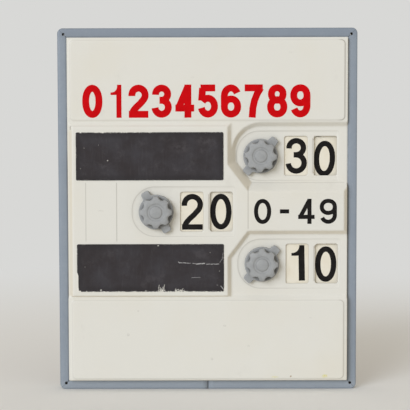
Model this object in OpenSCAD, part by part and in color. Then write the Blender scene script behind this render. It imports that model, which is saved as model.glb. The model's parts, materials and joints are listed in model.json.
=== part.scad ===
// Upright counter board: a moulded panel in a folded edge trim, with three counters.
// Each counter has two concentric knobs, which turn a tens disc and a units disc behind
// two windows. The board is drawn as seen from the front, with x to the right, y up and
// z forward from its back, and is then stood upright.

/* [Board] */
// Overall width of the board
board_w = 610; // [606:1:616]
// Overall height of the board
board_h = 740; // [737:1:746]
// Thickness of the back panel
back_t = 3; // [2:0.5:4]
// Thickness of the battens between the two panels
batten_t = 18; // [12:0.5:20]
// Width of the battens
batten_w = 18; // [14:0.5:18]

/* [Edge trim] */
// Wall of the folded channel
trim_t = 2; // [1.5:0.1:2.5]
// Width of its front and rear flanges
trim_w = 19.2; // [17:0.1:20]
// Outer corner radius
trim_corner_r = 11; // [9:1:13]
// Width of the mitre slits and of the butt joint
slit_w = 0.6; // [0.4:0.1:1]
// Distance of each corner hole from the two outer edges
hole_inset = 12.5; // [11:0.5:14]
// Radius of the corner holes
hole_r = 2.5; // [2:0.1:3]

/* [Panel relief] */
// Thickness of the moulded sheet
sheet_t = 3; // [2.5:0.1:3.5]
// Depth of one step of the relief, which also gives its sloping walls their width
step_d = 9; // [8.8:0.1:9.4]
// Height of the two large fields above the panel round them
field_rise = 1.5; // [1:0.1:2]
// Gap between the raised panel and the trim
trim_gap = 0.8; // [0.5:0.1:1.5]
// Left edge of the raised block
block_left = -274.5; // [-276:0.5:-273]
// Right edge of the raised block
block_right = 40; // [38:0.5:42]
// Lower edge of the raised block
block_low = 195; // [193:0.5:197]
// Upper edge of the raised block
block_high = 539; // [537:0.5:541]
// Left end of the label plate, where the block's corners meet it
plate_left = 81.5; // [80:0.5:83]
// Right end of the label plate
plate_right = 277; // [274:0.5:279]
// Lower edge of the label plate
plate_low = 328.7; // [327:0.1:330]
// Upper edge of the label plate
plate_high = 408.8; // [407:0.1:410]
// Height of the lower corner of the block beside the plate
neck_low = 274; // [270:0.5:278]
// Height of the upper corner of the block beside the plate
neck_high = 463; // [460:0.5:466]
// Top of the sunk pocket
pocket_high = 540; // [537:0.5:542]
// Corner radius of the pocket
pocket_r = 52; // [48:0.5:52]
// Width of the seam at the plate's left end
seam_w = 0.6; // [0.4:0.1:1]
// Depth of that seam
seam_d = 0.5; // [0.3:0.1:0.8]
// Crest of the lower zone
zone_high = 187.5; // [186:0.5:188]
// Half width of the heading field
heading_half = 279; // [275:0.5:281]
// Lower edge of the heading field
heading_low = 553; // [551:0.5:556]
// Upper edge of the heading field
heading_high = 715; // [712:0.5:717]
// Half width of the lower field
lower_half = 277.3; // [274:0.1:280]
// Lower edge of the lower field
lower_low = 24.5; // [23:0.5:28]
// Upper edge of the lower field
lower_high = 185.8; // [183:0.1:186]
// Corner radius of the fields
field_r = 8; // [5:0.5:10]

/* [Counters] */
// Hub of the upper counter, in the sunk pocket
hub_upper = [108.2, 480]; // [0:0.1:600]
// Hub of the middle counter, on the raised block
hub_middle = [-104.5, 367]; // [-200:0.1:600]
// Hub of the lower counter, between the plate and the lower zone
hub_lower = [110.5, 259.5]; // [0:0.1:600]
// Distance of the tens windows from the hub
tens_r = 72.5; // [72:0.1:73]
// Distance of the units windows from the hub
units_r = 132.5; // [132:0.1:133]
// Distance of the tens numerals from the hub
tens_numeral_r = 73.3; // [72:0.1:74]
// Distance of the units numerals from the hub
units_numeral_r = 131.5; // [131:0.1:133]
// Width of a window
window_w = 45.2; // [43:0.1:46]
// Height of a window
window_h = 79.5; // [76:0.1:80]
// Corner radius of a window
window_corner_r = 3.5; // [2:0.1:5]
// Width of the chamfer on the left edge of the units windows
window_chamfer = 3.5; // [2:0.1:4]
// Radius of the tens discs
tens_disc_r = 106; // [104.5:0.1:107]
// Radius of the units discs
units_disc_r = 160.6; // [160.4:0.1:161]
// Thickness of the discs
disc_t = 1.5; // [1.2:0.1:1.6]
// Gap between the sheet and the tens disc
tens_gap = 0.8; // [0.6:0.1:1]
// Gap between the tens disc and the units disc
units_gap = 2; // [1.6:0.1:2.2]
// Depth of the shallow recess round each counter
recess_d = 0.8; // [0.5:0.1:1]
// Left end of the recess, from the hub
recess_left = -49; // [-50:0.5:-48]
// Right end of the recess, from the hub
recess_right = 160; // [158:0.5:161]
// Height of the recess
recess_h = 101; // [98:0.5:102]
// Corner radius of the recess at the knobs
recess_round_r = 47; // [44:0.5:48]
// Corner radius of the recess at the windows
recess_corner_r = 4; // [2:0.5:6]
// How far the middle of the recess lies above the hub
recess_lift = 0.5; // [0:0.1:1]

/* [Knobs] */
// Radius of the lugged knobs
lugged_r = 35.3; // [34:0.1:36]
// Reach of the lugs from the axis
lug_reach = 46; // [43:0.5:47]
// Width of the lugs
lug_w = 18; // [14:0.5:20]
// Height of the lugged knobs above the sheet
lugged_h = 10; // [9:0.5:11]
// Radius of the fluted knobs
fluted_r = 32.4; // [31:0.1:33]
// Height of the fluted knobs above the sheet
fluted_h = 26; // [23:0.5:27]
// Number of flutes
flute_count = 8; // [6:1:10]
// Radius of a flute
flute_r = 9; // [7:0.5:10]
// Radius at the root of the flutes
flute_root_r = 27; // [26:0.5:28]
// Bevel round the top of the fluted knobs
rim_bevel = 2; // [1:0.5:3]
// Radius of the raised ring on their face
ring_r = 18.5; // [17:0.5:20]
// Radius of the domed middle of their face
dome_r = 12.9; // [11:0.1:14]
// Radius of the sleeve of the lugged knobs
sleeve_r = 7; // [6.5:0.1:7.5]
// Radius of the spindle of the fluted knobs
spindle_r = 4; // [3.6:0.1:4.4]
// Radial running clearance of spindle and sleeve
running = 0.05; // [0.03:0.01:0.08]
// Turn of the lugs of the upper, middle and lower counter
lug_turns = [49, 121, 47]; // [0:1:180]
// Turn of the flutes of the upper, middle and lower counter
flute_turns = [18.5, 22.5, 22.5]; // [0:0.5:45]

/* [Numerals] */
// Width of a disc numeral
numeral_w = 43.5; // [40:0.5:44]
// Height of a disc numeral
numeral_h = 73; // [70:0.5:74]
// Stroke of a disc numeral
numeral_stroke = 11; // [8:0.5:12]
// Tens that the upper, middle and lower counter show
tens_shown = [3, 2, 1]; // [0:1:4]
// Units that the upper, middle and lower counter show
units_shown = [0, 0, 0]; // [0:1:9]
// Turn of the tens discs away from straight
tens_turns = [0, 0, 1.1]; // [-3:0.1:3]
// Turn of the units discs away from straight
units_turns = [-2.5, 0, -0.6]; // [-3:0.1:3]
// Height of a heading numeral
heading_h = 67; // [60:0.5:70]
// Width of a heading numeral
heading_w = 41; // [36:0.5:43]
// Stroke of a heading numeral
heading_stroke = 14; // [10:0.5:15]
// Distance between heading numerals
heading_pitch = 46.9; // [45:0.1:48]
// Middle of the row of heading numerals
heading_middle = [-22.5, 591.7]; // [-30:0.1:600]
// Height of a numeral on the label plate
range_h = 51; // [44:0.5:53]
// Width of a numeral on the label plate
range_w = 35; // [30:0.5:37]
// Stroke of a numeral on the label plate
range_stroke = 8.4; // [6:0.1:10]
// Distance between the numerals on the label plate
range_pitch = 44.5; // [42:0.1:46]
// Middle of the row on the label plate
range_middle = [178.5, 367.6]; // [170:0.1:400]

/* [Blackboards] */
// Width of a blackboard strip
strip_w = 299.5; // [290:0.5:304]
// Height of a blackboard strip
strip_h = 97.5; // [90:0.5:99]
// Thickness of a blackboard strip
strip_t = 0.8; // [0.5:0.1:1.5]
// Corner radius of a blackboard strip
strip_r = 3; // [1:0.5:5]
// Middle of the upper strip
strip_upper = [-117.4, 480]; // [-120:0.1:485]
// Middle of the lower strip
strip_lower = [-116.6, 252.6]; // [-120:0.1:256]

/* [Hidden] */
$fn = 96;

// Levels of the panel's front face, from the back of the board forward
batten_z = trim_t + back_t;
base_z = batten_z + batten_t + sheet_t;
mid_z = base_z + step_d;
high_z = mid_z + step_d;
board_d = high_z + fluted_h;
overlap = 1;

// Outlines that follow from the board and its trim
core_w = board_w - 2 * trim_t;
core_h = board_h - 2 * trim_t;
core_r = trim_corner_r - trim_t;
opening_w = board_w - 2 * trim_w;
opening_h = board_h - 2 * trim_w;
slit_l = (trim_w + overlap - hole_inset) * sqrt(2);
raised_w = opening_w - 2 * trim_gap;
raised_h = opening_h - 2 * trim_gap;
middle = [0, board_h / 2];

// The three counters, in the order upper, middle, lower
UPPER = 0;
MIDDLE = 1;
LOWER = 2;
hubs = [hub_upper, hub_middle, hub_lower];
levels = [base_z, high_z, mid_z];

// Depths of a counter's pieces, from the front of the sheet forward
tens_front = -sheet_t - tens_gap;
tens_back = tens_front - disc_t;
units_front = tens_back - units_gap;
units_back = units_front - disc_t;
tens_seat_r = sleeve_r - 1;
units_seat_r = spindle_r - 1;
bush_r = sleeve_r + 2;
bush_flange_r = sleeve_r + 6;
bush_flange_t = 0.9;
knob_lift = 1.2;
knob_split = 0.3;
lugged_bevel = 1.5;
face_drop = 1;
dome_top_r = 10;
washer_r = 9;
washer_t = 1;
screw_r = 1.5;
screw_head_r = 4.2;
screw_head_h = 2.8;
screw_l = 6;
slot_l = 4.4;
slot_w = 0.9;
slot_d = 1.2;
film_t = 0.2;
tens_step = 72;
units_step = 36;
bottom_wall_slope = 0.35;
tangent_gap = 0.3;
dash = 10;

// Vectors and outlines
function unit(v) = v / norm(v);
function right_of(v) = [v.y, -v.x];
function corner_shift(n1, n2) = (n1 + n2) / (1 + n1 * n2);
function reversed(list) = [for (i = [len(list) - 1:-1:0]) list[i]];

// Outline p moved outward by k with mitred corners, for points that run anticlockwise
function grown(p, k) = [
    for (i = [0:len(p) - 1])
        let (before = p[(i + len(p) - 1) % len(p)], after = p[(i + 1) % len(p)])
        p[i] + k * corner_shift(right_of(unit(p[i] - before)), right_of(unit(after - p[i])))
];

// One side of an open line p, k to its right
function line_side(p, k) = [
    for (i = [0:len(p) - 1])
        let (a = max(i, 1), b = min(i + 1, len(p) - 1))
        p[i] + k * corner_shift(right_of(unit(p[a] - p[a - 1])), right_of(unit(p[b] - p[b - 1])))
];

// Points of an elliptical arc about c, and of a full oval with slightly square shoulders
shoulder = 0.95;
function arc(c, rx, ry, from, to, n = 12) = [
    for (i = [0:n])
        let (a = from + (to - from) * i / n)
        c + [rx * cos(a), ry * sin(a)]
];
function oval(c, rx, ry, n = 36) = [
    for (i = [0:n - 1])
        let (a = 360 * i / n)
        c + [rx * sign(cos(a)) * pow(abs(cos(a)), shoulder), ry * sign(sin(a)) * pow(abs(sin(a)), shoulder)]
];

// The numerals, drawn about their middle: points up to 17 across and 32 up lie on the centre
// lines of the strokes, and the numeral's own edge is 5 further out. A line is open, a loop is
// closed, and a fill is an outline.
line_x = 17;
line_y = 32;
numeral_margin = 5;
NUMERALS = [
    [["loop", oval([0, 0], 17, 32)]],
    [
        ["fill", concat(
            [[2.4, -37], [15.4, -37], [15.4, 37], [4.6, 37]],
            arc([-10.5, 36.5], 15, 15, 0, -90, 8),
            [[-12.5, 21.5], [-12.5, 15.5], [2.4, 15.5]]
        )]
    ],
    [
        ["line", concat(arc([0, 15], 17, 17, 188, -38, 16), [[4, -6], [-6, -15], [-13, -23], [-17, -32]])],
        ["line", [[-21.5, -32], [21.5, -32]]]
    ],
    [
        ["line", concat(arc([0, 17.2], 15.5, 14.8, 186, -90, 18), [[-5.5, 2.4]])],
        ["line", concat([[-5.5, 2.2]], arc([0, -14.9], 17, 17.1, 90, -176, 18))]
    ],
    [
        ["line", [[7, 33], [-14.5, -14]]],
        ["line", [[-21, -17], [21, -17]]],
        ["line", [[8, -37], [8, 37]]]
    ],
    [
        ["line", [[-18, 32], [18, 32]]],
        ["line", [[-13.5, 32], [-16, 1]]],
        ["line", arc([0, -12.5], 17, 19.5, 145, -168, 20)]
    ],
    [
        ["loop", oval([0, -13.5], 17, 18.5, 28)],
        ["line", concat(arc([0, 12], 17, 20, 22, 180, 12), [[-17, -13]])]
    ],
    [
        ["line", [[-21, 32], [20, 32]]],
        ["line", [[17, 32], [8, 18], [1, 1], [-3, -17], [-5, -37]]]
    ],
    [
        ["loop", oval([0, 16.8], 14.8, 15.2, 26)],
        ["loop", oval([0, -14.5], 17, 17.5, 28)]
    ],
    [
        ["loop", oval([0, 13.5], 17, 18.5, 28)],
        ["line", concat(arc([0, -12], 17, 20, 202, 360, 12), [[17, 13]])]
    ],
    [["line", [[-12, 0], [12, 0]]]]
];

// One line, loop or fill of width w along points p
module stroke(kind, p, w) {
    if (kind == "fill")
        polygon(p);
    if (kind == "line")
        polygon(concat(line_side(p, w / 2), reversed(line_side(p, -w / 2))));
    if (kind == "loop")
        difference() {
            polygon(grown(p, w / 2));
            polygon(grown(p, -w / 2));
        }
}

// The drawn distance v in a numeral of size w with strokes of width s, whose centre line is at `line`
function placed(v, line, w, s) =
    sign(v) * (min(abs(v), line) * (w - s) / line + max(abs(v) - line, 0) * s / numeral_margin) / 2;

// Numeral k as a flat shape, w wide and h high about its middle, with strokes of width s
module numeral(k, w, h, s)
    for (line = NUMERALS[k])
        stroke(line[0], [for (p = line[1]) [placed(p.x, line_x, w, s), placed(p.y, line_y, h, s)]], s);

// A rectangle about its middle with round corners
module rounded(w, h, r) {
    square([w - 2 * r, h], center = true);
    square([w, h - 2 * r], center = true);
    for (x = [-1, 1], y = [-1, 1])
        translate([x * (w / 2 - r), y * (h / 2 - r)])
            circle(r);
}

// A solid between depths z0 and z1 with the outline of its children
module layer(z0, z1)
    translate([0, 0, z0])
        linear_extrude(z1 - z0)
            children();

// A cylinder between depths z0 and z1
module drum(r, z0, z1, r_top = undef)
    translate([0, 0, z0])
        cylinder(h = z1 - z0, r1 = r, r2 = is_undef(r_top) ? r : r_top);

// Stands the board upright, with the middle of its depth on the origin
module upright()
    translate([0, board_d / 2, 0])
        rotate([90, 0, 0])
            children();

// Places a counter's pieces at their hub, with z = 0 on the sheet's front face
module at_counter(k)
    upright()
        translate([hubs[k].x, hubs[k].y, levels[k]])
            children();

module at_corners()
    for (x = [-1, 1], y = [-1, 1])
        translate(middle + [x * (board_w / 2 - hole_inset), y * (board_h / 2 - hole_inset)])
            children();

module corner_holes()
    at_corners()
        translate([0, 0, -overlap])
            cylinder(h = board_d, r = hole_r);

// A long bank beside the line from a to b: its top is flat to the left of the line, and to the
// right it falls by `fall`, over `run` sideways
module bank(a, b, z, fall, run) {
    along = b - a;
    translate([a.x, a.y, z])
        rotate([90, 0, atan2(along.y, along.x) - 90])
            linear_extrude(4 * board_h, center = true)
                polygon([[-board_h, 0], [0, 0], [run, -fall], [-board_h, -fall]]);
}

// A raised rectangle whose four walls fall to the foot of the relief, the lower one by its own run
module plateau(x0, y0, x1, y1, z, fall, low_run)
    intersection() {
        bank([x0, y0], [x1, y0], z, fall, low_run);
        bank([x1, y0], [x1, y1], z, fall, fall);
        bank([x1, y1], [x0, y1], z, fall, fall);
        bank([x0, y1], [x0, y0], z, fall, fall);
    }

// The block, its label plate and the neck between them
module block(z) {
    fall = 2 * step_d + overlap;
    neck_x = block_right / 2;
    plateau(block_left, block_low, block_right, block_high, z, fall, bottom_wall_slope * fall);
    plateau(block_right, plate_low, plate_right, plate_high, z, fall, fall);
    intersection() {
        bank([block_right, neck_low], [plate_left, plate_low], z, fall, fall);
        bank([plate_left, plate_high], [block_right, neck_high], z, fall, fall);
        layer(0, board_d)
            translate([neck_x, block_low])
                square([(plate_left + plate_right) / 2 - neck_x, block_high - block_low]);
    }
}

// What is cut from the middle level for the pocket, down to depth z0: it runs under the block
module pocket(z0) {
    z1 = z0 + step_d + overlap;
    wall = step_d + overlap;
    round_x = block_right + 2 * step_d + pocket_r - tangent_gap;
    round_y = pocket_high - pocket_r;
    foot_x = block_right + step_d / 2;
    layer(z0, z1)
        translate([foot_x, plate_high])
            square([board_w, round_y - plate_high]);
    translate([round_x, round_y, 0])
        drum(pocket_r, z0, z1, pocket_r + wall);
    intersection() {
        bank([board_w, pocket_high + wall], [0, pocket_high + wall], z1, wall, -wall);
        layer(z0, z1)
            translate([round_x, round_y - pocket_r])
                square([board_w, board_h]);
    }
}

// The raised part of the panel, moved back by `back` and with its upright edge inset by it
module relief(back) {
    zone_z = high_z - field_rise - back;
    intersection() {
        union() {
            difference() {
                layer(-overlap, mid_z - back)
                    translate(middle)
                        square([board_w, board_h], center = true);
                pocket(base_z - back);
            }
            block(high_z - back);
            bank([board_w, zone_high], [-board_w, zone_high], zone_z, step_d, step_d);
        }
        layer(-overlap, board_d)
            translate(middle)
                square([raised_w - 2 * back, raised_h - 2 * back], center = true);
    }
}

module fields() {
    layer(mid_z - overlap, mid_z + field_rise)
        translate([0, (heading_low + heading_high) / 2])
            rounded(2 * heading_half, heading_high - heading_low, field_r);
    layer(high_z - field_rise - overlap, high_z)
        translate([0, (lower_low + lower_high) / 2])
            rounded(2 * lower_half, lower_high - lower_low, field_r);
}

// The shallow recess round a counter: a wide round end at the knobs, small corners at the right
module counter_recess() {
    round_x = recess_left + recess_round_r;
    round_y = recess_h / 2 - recess_round_r;
    corner_x = recess_right - recess_corner_r;
    corner_y = recess_h / 2 - recess_corner_r;
    translate([0, recess_lift]) {
        for (y = [-1, 1]) {
            translate([round_x, y * round_y])
                circle(recess_round_r);
            translate([corner_x, y * corner_y])
                circle(recess_corner_r);
        }
        translate([recess_left, -round_y])
            square([recess_right - recess_left, 2 * round_y]);
        translate([round_x, -recess_h / 2])
            square([corner_x - round_x, recess_h]);
        translate([round_x, -corner_y])
            square([recess_right - round_x, 2 * corner_y]);
    }
}

// What is cut from the sheet at one counter
module counter_cuts() {
    layer(-recess_d, overlap)
        counter_recess();
    for (r = [tens_r, units_r])
        layer(-sheet_t - overlap, overlap)
            translate([r, 0])
                rounded(window_w, window_h, window_corner_r);
    chamfer_d = sheet_t - 1;
    translate([units_r - window_w / 2, window_h / 2 - window_corner_r, 0])
        rotate([90, 0, 0])
            linear_extrude(window_h - 2 * window_corner_r)
                polygon([
                    [-window_chamfer, -recess_d], [overlap, overlap],
                    [overlap, -chamfer_d], [0, -chamfer_d]
                ]);
    translate([0, 0, -sheet_t - overlap])
        cylinder(h = sheet_t + 2 * overlap, r = bush_r);
}

module front_panel()
    color([0.87, 0.86, 0.81])
        upright()
            difference() {
                union() {
                    layer(base_z - sheet_t, base_z)
                        translate(middle)
                            rounded(core_w, core_h, core_r);
                    difference() {
                        relief(0);
                        layer(-2 * overlap, base_z - sheet_t)
                            translate(middle)
                                square([board_w, board_h], center = true);
                    }
                    fields();
                }
                relief(sheet_t);
                for (k = [UPPER, MIDDLE, LOWER])
                    translate([hubs[k].x, hubs[k].y, levels[k]])
                        counter_cuts();
                translate([plate_left + seam_w / 2, plate_low, high_z - seam_d])
                    cube([seam_w, plate_high - plate_low, seam_d + overlap]);
                corner_holes();
            }

module back_panel()
    color([0.5, 0.36, 0.22])
        upright()
            difference() {
                layer(trim_t, trim_t + back_t)
                    translate(middle)
                        rounded(core_w, core_h, core_r);
                corner_holes();
            }

// A batten whose middle is at `at`, cut to the round corners of the panels
module batten(at, w, h)
    color([0.76, 0.62, 0.42])
        upright()
            difference() {
                intersection() {
                    layer(batten_z, batten_z + batten_t)
                        translate(at)
                            square([w, h], center = true);
                    layer(batten_z - overlap, batten_z + batten_t + overlap)
                        translate(middle)
                            rounded(core_w, core_h, core_r);
                }
                corner_holes();
            }

batten_x = core_w / 2 - batten_w / 2;
batten_y = core_h / 2 - batten_w / 2;

module batten_top() batten(middle + [0, batten_y], core_w, batten_w);
module batten_bottom() batten(middle - [0, batten_y], core_w, batten_w);
module batten_left() batten(middle - [batten_x, 0], batten_w, core_h - 2 * batten_w);
module batten_right() batten(middle + [batten_x, 0], batten_w, core_h - 2 * batten_w);

// One channel folded round the board: slit at the corners, its ends meet at the bottom
module edge_trim()
    color([0.55, 0.59, 0.64])
        upright()
            difference() {
                layer(0, base_z + trim_t)
                    translate(middle)
                        rounded(board_w, board_h, trim_corner_r);
                layer(trim_t, base_z)
                    translate(middle)
                        rounded(core_w, core_h, core_r);
                layer(-overlap, base_z + trim_t + overlap)
                    translate(middle)
                        square([opening_w, opening_h], center = true);
                corner_holes();
                for (x = [-1, 1], y = [-1, 1])
                    translate(middle + [x * (opening_w / 2 - overlap), y * (opening_h / 2 - overlap)])
                        rotate(atan2(y, x))
                            translate([0, -slit_w / 2, base_z - overlap])
                                cube([slit_l, slit_w, trim_t + 2 * overlap]);
                translate([-slit_w / 2, -overlap, -overlap])
                    cube([slit_w, trim_w + 2 * overlap, base_z + trim_t + 2 * overlap]);
            }

module blackboard(at)
    color([0.25, 0.24, 0.25])
        upright()
            layer(high_z, high_z + strip_t)
                translate(at)
                    rounded(strip_w, strip_h, strip_r);

module blackboard_upper() blackboard(strip_upper);
module blackboard_lower() blackboard(strip_lower);

// A row of figures about the point `at`
module row_of(figures, at, pitch, w, h, s)
    for (i = [0:len(figures) - 1])
        translate(at + [(i - (len(figures) - 1) / 2) * pitch, 0])
            numeral(figures[i], w, h, s);

module heading_numerals()
    color([0.75, 0.05, 0.07])
        upright()
            layer(mid_z + field_rise, mid_z + field_rise + film_t)
                row_of([0, 1, 2, 3, 4, 5, 6, 7, 8, 9], heading_middle, heading_pitch, heading_w, heading_h,
                       heading_stroke);

// The range that a counter can show
module range_numerals()
    color([0.13, 0.12, 0.12])
        upright()
            layer(high_z, high_z + film_t)
                row_of([0, dash, 4, 9], range_middle, range_pitch, range_w, range_h, range_stroke);

// Round lower knob with two lugs, on the sleeve that carries the tens disc
module tens_knob(k)
    color([0.61, 0.61, 0.6])
        at_counter(k)
            difference() {
                union() {
                    drum(lugged_r, knob_lift, lugged_h - lugged_bevel);
                    drum(lugged_r, lugged_h - lugged_bevel, lugged_h, lugged_r - lugged_bevel);
                    layer(knob_lift, lugged_h - lugged_bevel / 2)
                        rotate(lug_turns[k]) {
                            square([2 * lug_reach - lug_w, lug_w], center = true);
                            for (x = [-1, 1])
                                translate([x * (lug_reach - lug_w / 2), 0])
                                    circle(lug_w / 2);
                        }
                    drum(sleeve_r, tens_front, knob_lift + overlap);
                    drum(tens_seat_r, tens_back, tens_front + overlap);
                }
                drum(spindle_r + running, tens_back - overlap, lugged_h + overlap);
            }

// Fluted upper knob with rings on its face, on the spindle that carries the units disc
module units_knob(k) {
    low = lugged_h + knob_split;
    face = fluted_h - face_drop;
    color([0.61, 0.61, 0.6])
        at_counter(k)
            difference() {
                union() {
                    difference() {
                        union() {
                            drum(fluted_r, low, face - rim_bevel);
                            drum(fluted_r, face - rim_bevel, face, fluted_r - rim_bevel);
                        }
                        for (i = [1:flute_count])
                            rotate(flute_turns[k] + i * 360 / flute_count)
                                translate([flute_root_r + flute_r, 0, low - overlap])
                                    cylinder(h = fluted_h, r = flute_r);
                    }
                    drum(ring_r, face - overlap, face + face_drop / 2);
                    drum(dome_r, face - overlap, fluted_h, dome_top_r);
                    drum(spindle_r, units_front, low + overlap);
                    drum(units_seat_r, units_back, units_front + overlap);
                }
                drum(screw_r, units_back - overlap, units_back + screw_l + overlap);
            }
}

module disc(k, r, bore_r, z0)
    color([0.88, 0.85, 0.76])
        at_counter(k)
            difference() {
                drum(r, z0, z0 + disc_t);
                drum(bore_r, z0 - overlap, z0 + disc_t + overlap);
            }

module tens_disc(k) disc(k, tens_disc_r, tens_seat_r, tens_back);
module units_disc(k) disc(k, units_disc_r, units_seat_r, units_back);

// Numerals round a disc, each upright as it comes to the window, with `shown` there now
module ring_of_numerals(k, count, angle, shown, turn, r, z)
    color([0.13, 0.12, 0.12])
        at_counter(k)
            layer(z, z + film_t)
                for (i = [0:count - 1])
                    rotate((shown - i) * angle + turn)
                        translate([r, 0])
                            numeral(i, numeral_w, numeral_h, numeral_stroke);

module tens_numerals(k)
    ring_of_numerals(k, 5, tens_step, tens_shown[k], tens_turns[k], tens_numeral_r, tens_front);
module units_numerals(k)
    ring_of_numerals(k, 10, units_step, units_shown[k], units_turns[k], units_numeral_r, units_front);

module hub_bush(k)
    color([0.9, 0.89, 0.85])
        at_counter(k)
            difference() {
                union() {
                    drum(bush_flange_r, -recess_d, bush_flange_t - recess_d);
                    drum(bush_r, -sheet_t, 0);
                }
                drum(sleeve_r + running, -sheet_t - overlap, bush_flange_t + overlap);
            }

module hub_washer(k)
    color([0.7, 0.7, 0.72])
        at_counter(k)
            difference() {
                drum(washer_r, units_back - washer_t, units_back);
                drum(screw_r, units_back - washer_t - overlap, units_back + overlap);
            }

module hub_screw(k) {
    seat = units_back - washer_t;
    color([0.7, 0.7, 0.72])
        at_counter(k)
            difference() {
                union() {
                    drum(screw_head_r, seat - screw_head_h, seat);
                    drum(screw_r - running, seat - overlap, units_back + screw_l);
                }
                for (bar = [[slot_l, slot_w], [slot_w, slot_l]])
                    translate([0, 0, seat - screw_head_h])
                        cube([bar.x, bar.y, 2 * slot_d], center = true);
            }
}

module tens_knob_upper() tens_knob(UPPER);
module tens_knob_middle() tens_knob(MIDDLE);
module tens_knob_lower() tens_knob(LOWER);
module units_knob_upper() units_knob(UPPER);
module units_knob_middle() units_knob(MIDDLE);
module units_knob_lower() units_knob(LOWER);
module tens_disc_upper() tens_disc(UPPER);
module tens_disc_middle() tens_disc(MIDDLE);
module tens_disc_lower() tens_disc(LOWER);
module units_disc_upper() units_disc(UPPER);
module units_disc_middle() units_disc(MIDDLE);
module units_disc_lower() units_disc(LOWER);
module tens_numerals_upper() tens_numerals(UPPER);
module tens_numerals_middle() tens_numerals(MIDDLE);
module tens_numerals_lower() tens_numerals(LOWER);
module units_numerals_upper() units_numerals(UPPER);
module units_numerals_middle() units_numerals(MIDDLE);
module units_numerals_lower() units_numerals(LOWER);
module hub_bush_upper() hub_bush(UPPER);
module hub_bush_middle() hub_bush(MIDDLE);
module hub_bush_lower() hub_bush(LOWER);
module hub_washer_upper() hub_washer(UPPER);
module hub_washer_middle() hub_washer(MIDDLE);
module hub_washer_lower() hub_washer(LOWER);
module hub_screw_upper() hub_screw(UPPER);
module hub_screw_middle() hub_screw(MIDDLE);
module hub_screw_lower() hub_screw(LOWER);

front_panel();
back_panel();
edge_trim();
batten_top();
batten_bottom();
batten_left();
batten_right();
blackboard_upper();
blackboard_lower();
heading_numerals();
range_numerals();
units_knob_upper();
tens_knob_upper();
tens_disc_upper();
units_disc_upper();
tens_numerals_upper();
units_numerals_upper();
hub_bush_upper();
hub_washer_upper();
hub_screw_upper();
units_knob_middle();
tens_knob_middle();
tens_disc_middle();
units_disc_middle();
tens_numerals_middle();
units_numerals_middle();
hub_bush_middle();
hub_washer_middle();
hub_screw_middle();
units_knob_lower();
tens_knob_lower();
tens_disc_lower();
units_disc_lower();
tens_numerals_lower();
units_numerals_lower();
hub_bush_lower();
hub_washer_lower();
hub_screw_lower();
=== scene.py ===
"""Looks of the counter board: its moulded panel, folded trim, knobs, discs and blackboards.

Lengths in the shapes are millimetres: x to the right, z up, and depth d forward from the
back of the board. Points are turned to the frame's metres by `stand`.
"""

import json
import math

import bmesh
import bpy
import mathutils
import numpy as np
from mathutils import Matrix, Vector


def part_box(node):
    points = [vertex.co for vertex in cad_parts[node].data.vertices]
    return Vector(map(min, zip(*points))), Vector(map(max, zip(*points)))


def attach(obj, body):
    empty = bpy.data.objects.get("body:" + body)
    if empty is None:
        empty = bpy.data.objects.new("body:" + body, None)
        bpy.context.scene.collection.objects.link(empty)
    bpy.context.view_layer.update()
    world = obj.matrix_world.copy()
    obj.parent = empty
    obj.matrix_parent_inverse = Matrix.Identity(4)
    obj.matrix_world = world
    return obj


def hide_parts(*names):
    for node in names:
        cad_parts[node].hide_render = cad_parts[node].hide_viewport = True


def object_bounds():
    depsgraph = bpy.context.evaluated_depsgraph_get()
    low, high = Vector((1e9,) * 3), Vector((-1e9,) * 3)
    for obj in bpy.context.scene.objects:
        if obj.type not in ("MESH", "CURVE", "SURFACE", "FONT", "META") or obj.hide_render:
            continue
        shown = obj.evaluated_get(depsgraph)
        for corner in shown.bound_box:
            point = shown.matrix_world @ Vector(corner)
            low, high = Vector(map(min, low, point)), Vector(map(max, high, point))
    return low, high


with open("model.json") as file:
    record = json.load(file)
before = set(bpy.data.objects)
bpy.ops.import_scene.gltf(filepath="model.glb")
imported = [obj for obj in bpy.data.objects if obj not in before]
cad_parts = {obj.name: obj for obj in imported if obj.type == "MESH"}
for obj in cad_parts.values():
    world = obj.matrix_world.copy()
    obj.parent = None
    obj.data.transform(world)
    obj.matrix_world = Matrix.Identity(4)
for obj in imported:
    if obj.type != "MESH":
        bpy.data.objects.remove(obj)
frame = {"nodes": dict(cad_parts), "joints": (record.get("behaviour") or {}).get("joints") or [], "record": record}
cad_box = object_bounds()

MM = 0.001
COUNTERS = ("upper", "middle", "lower")
BACK_Y = cad_box[1].y
BOARD_W = (cad_box[1].x - cad_box[0].x) / MM
BOARD_H = (cad_box[1].z - cad_box[0].z) / MM
HUBS = {joint["child"]: joint["pos_m"] for joint in frame["joints"]}


def depth_of(node):
    """Depth of a CAD node's front, forward from the back of the board."""
    return (BACK_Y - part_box(node)[0].y) / MM


TRIM_D = depth_of("edge_trim")
TRIM_W = 19.2
PANEL_EDGE = BOARD_W / 2 - TRIM_W
BUSH_RISE = 0.5  # how far a bush stands above the panel round it
HOLE_INSET = 12.5  # from the board's edges to the middle of a corner hole
HOLE_R = 2.5
HALVINGS = 40


# Meshes


def stand(x, z, d):
    """Points of the board's frame in metres, from x, z and depth d in millimetres."""
    x, z, d = np.broadcast_arrays(x, z, d)
    return np.stack([x * MM, BACK_Y - d * MM, z * MM], axis=-1)


def finished(mesh, smooth=True):
    """Closes a mesh's seams and poles and points its faces outwards."""
    work = bmesh.new()
    work.from_mesh(mesh)
    bmesh.ops.remove_doubles(work, verts=work.verts, dist=1e-6)
    bmesh.ops.recalc_face_normals(work, faces=work.faces)
    work.to_mesh(mesh)
    work.free()
    if smooth:
        mesh.shade_smooth()


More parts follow.
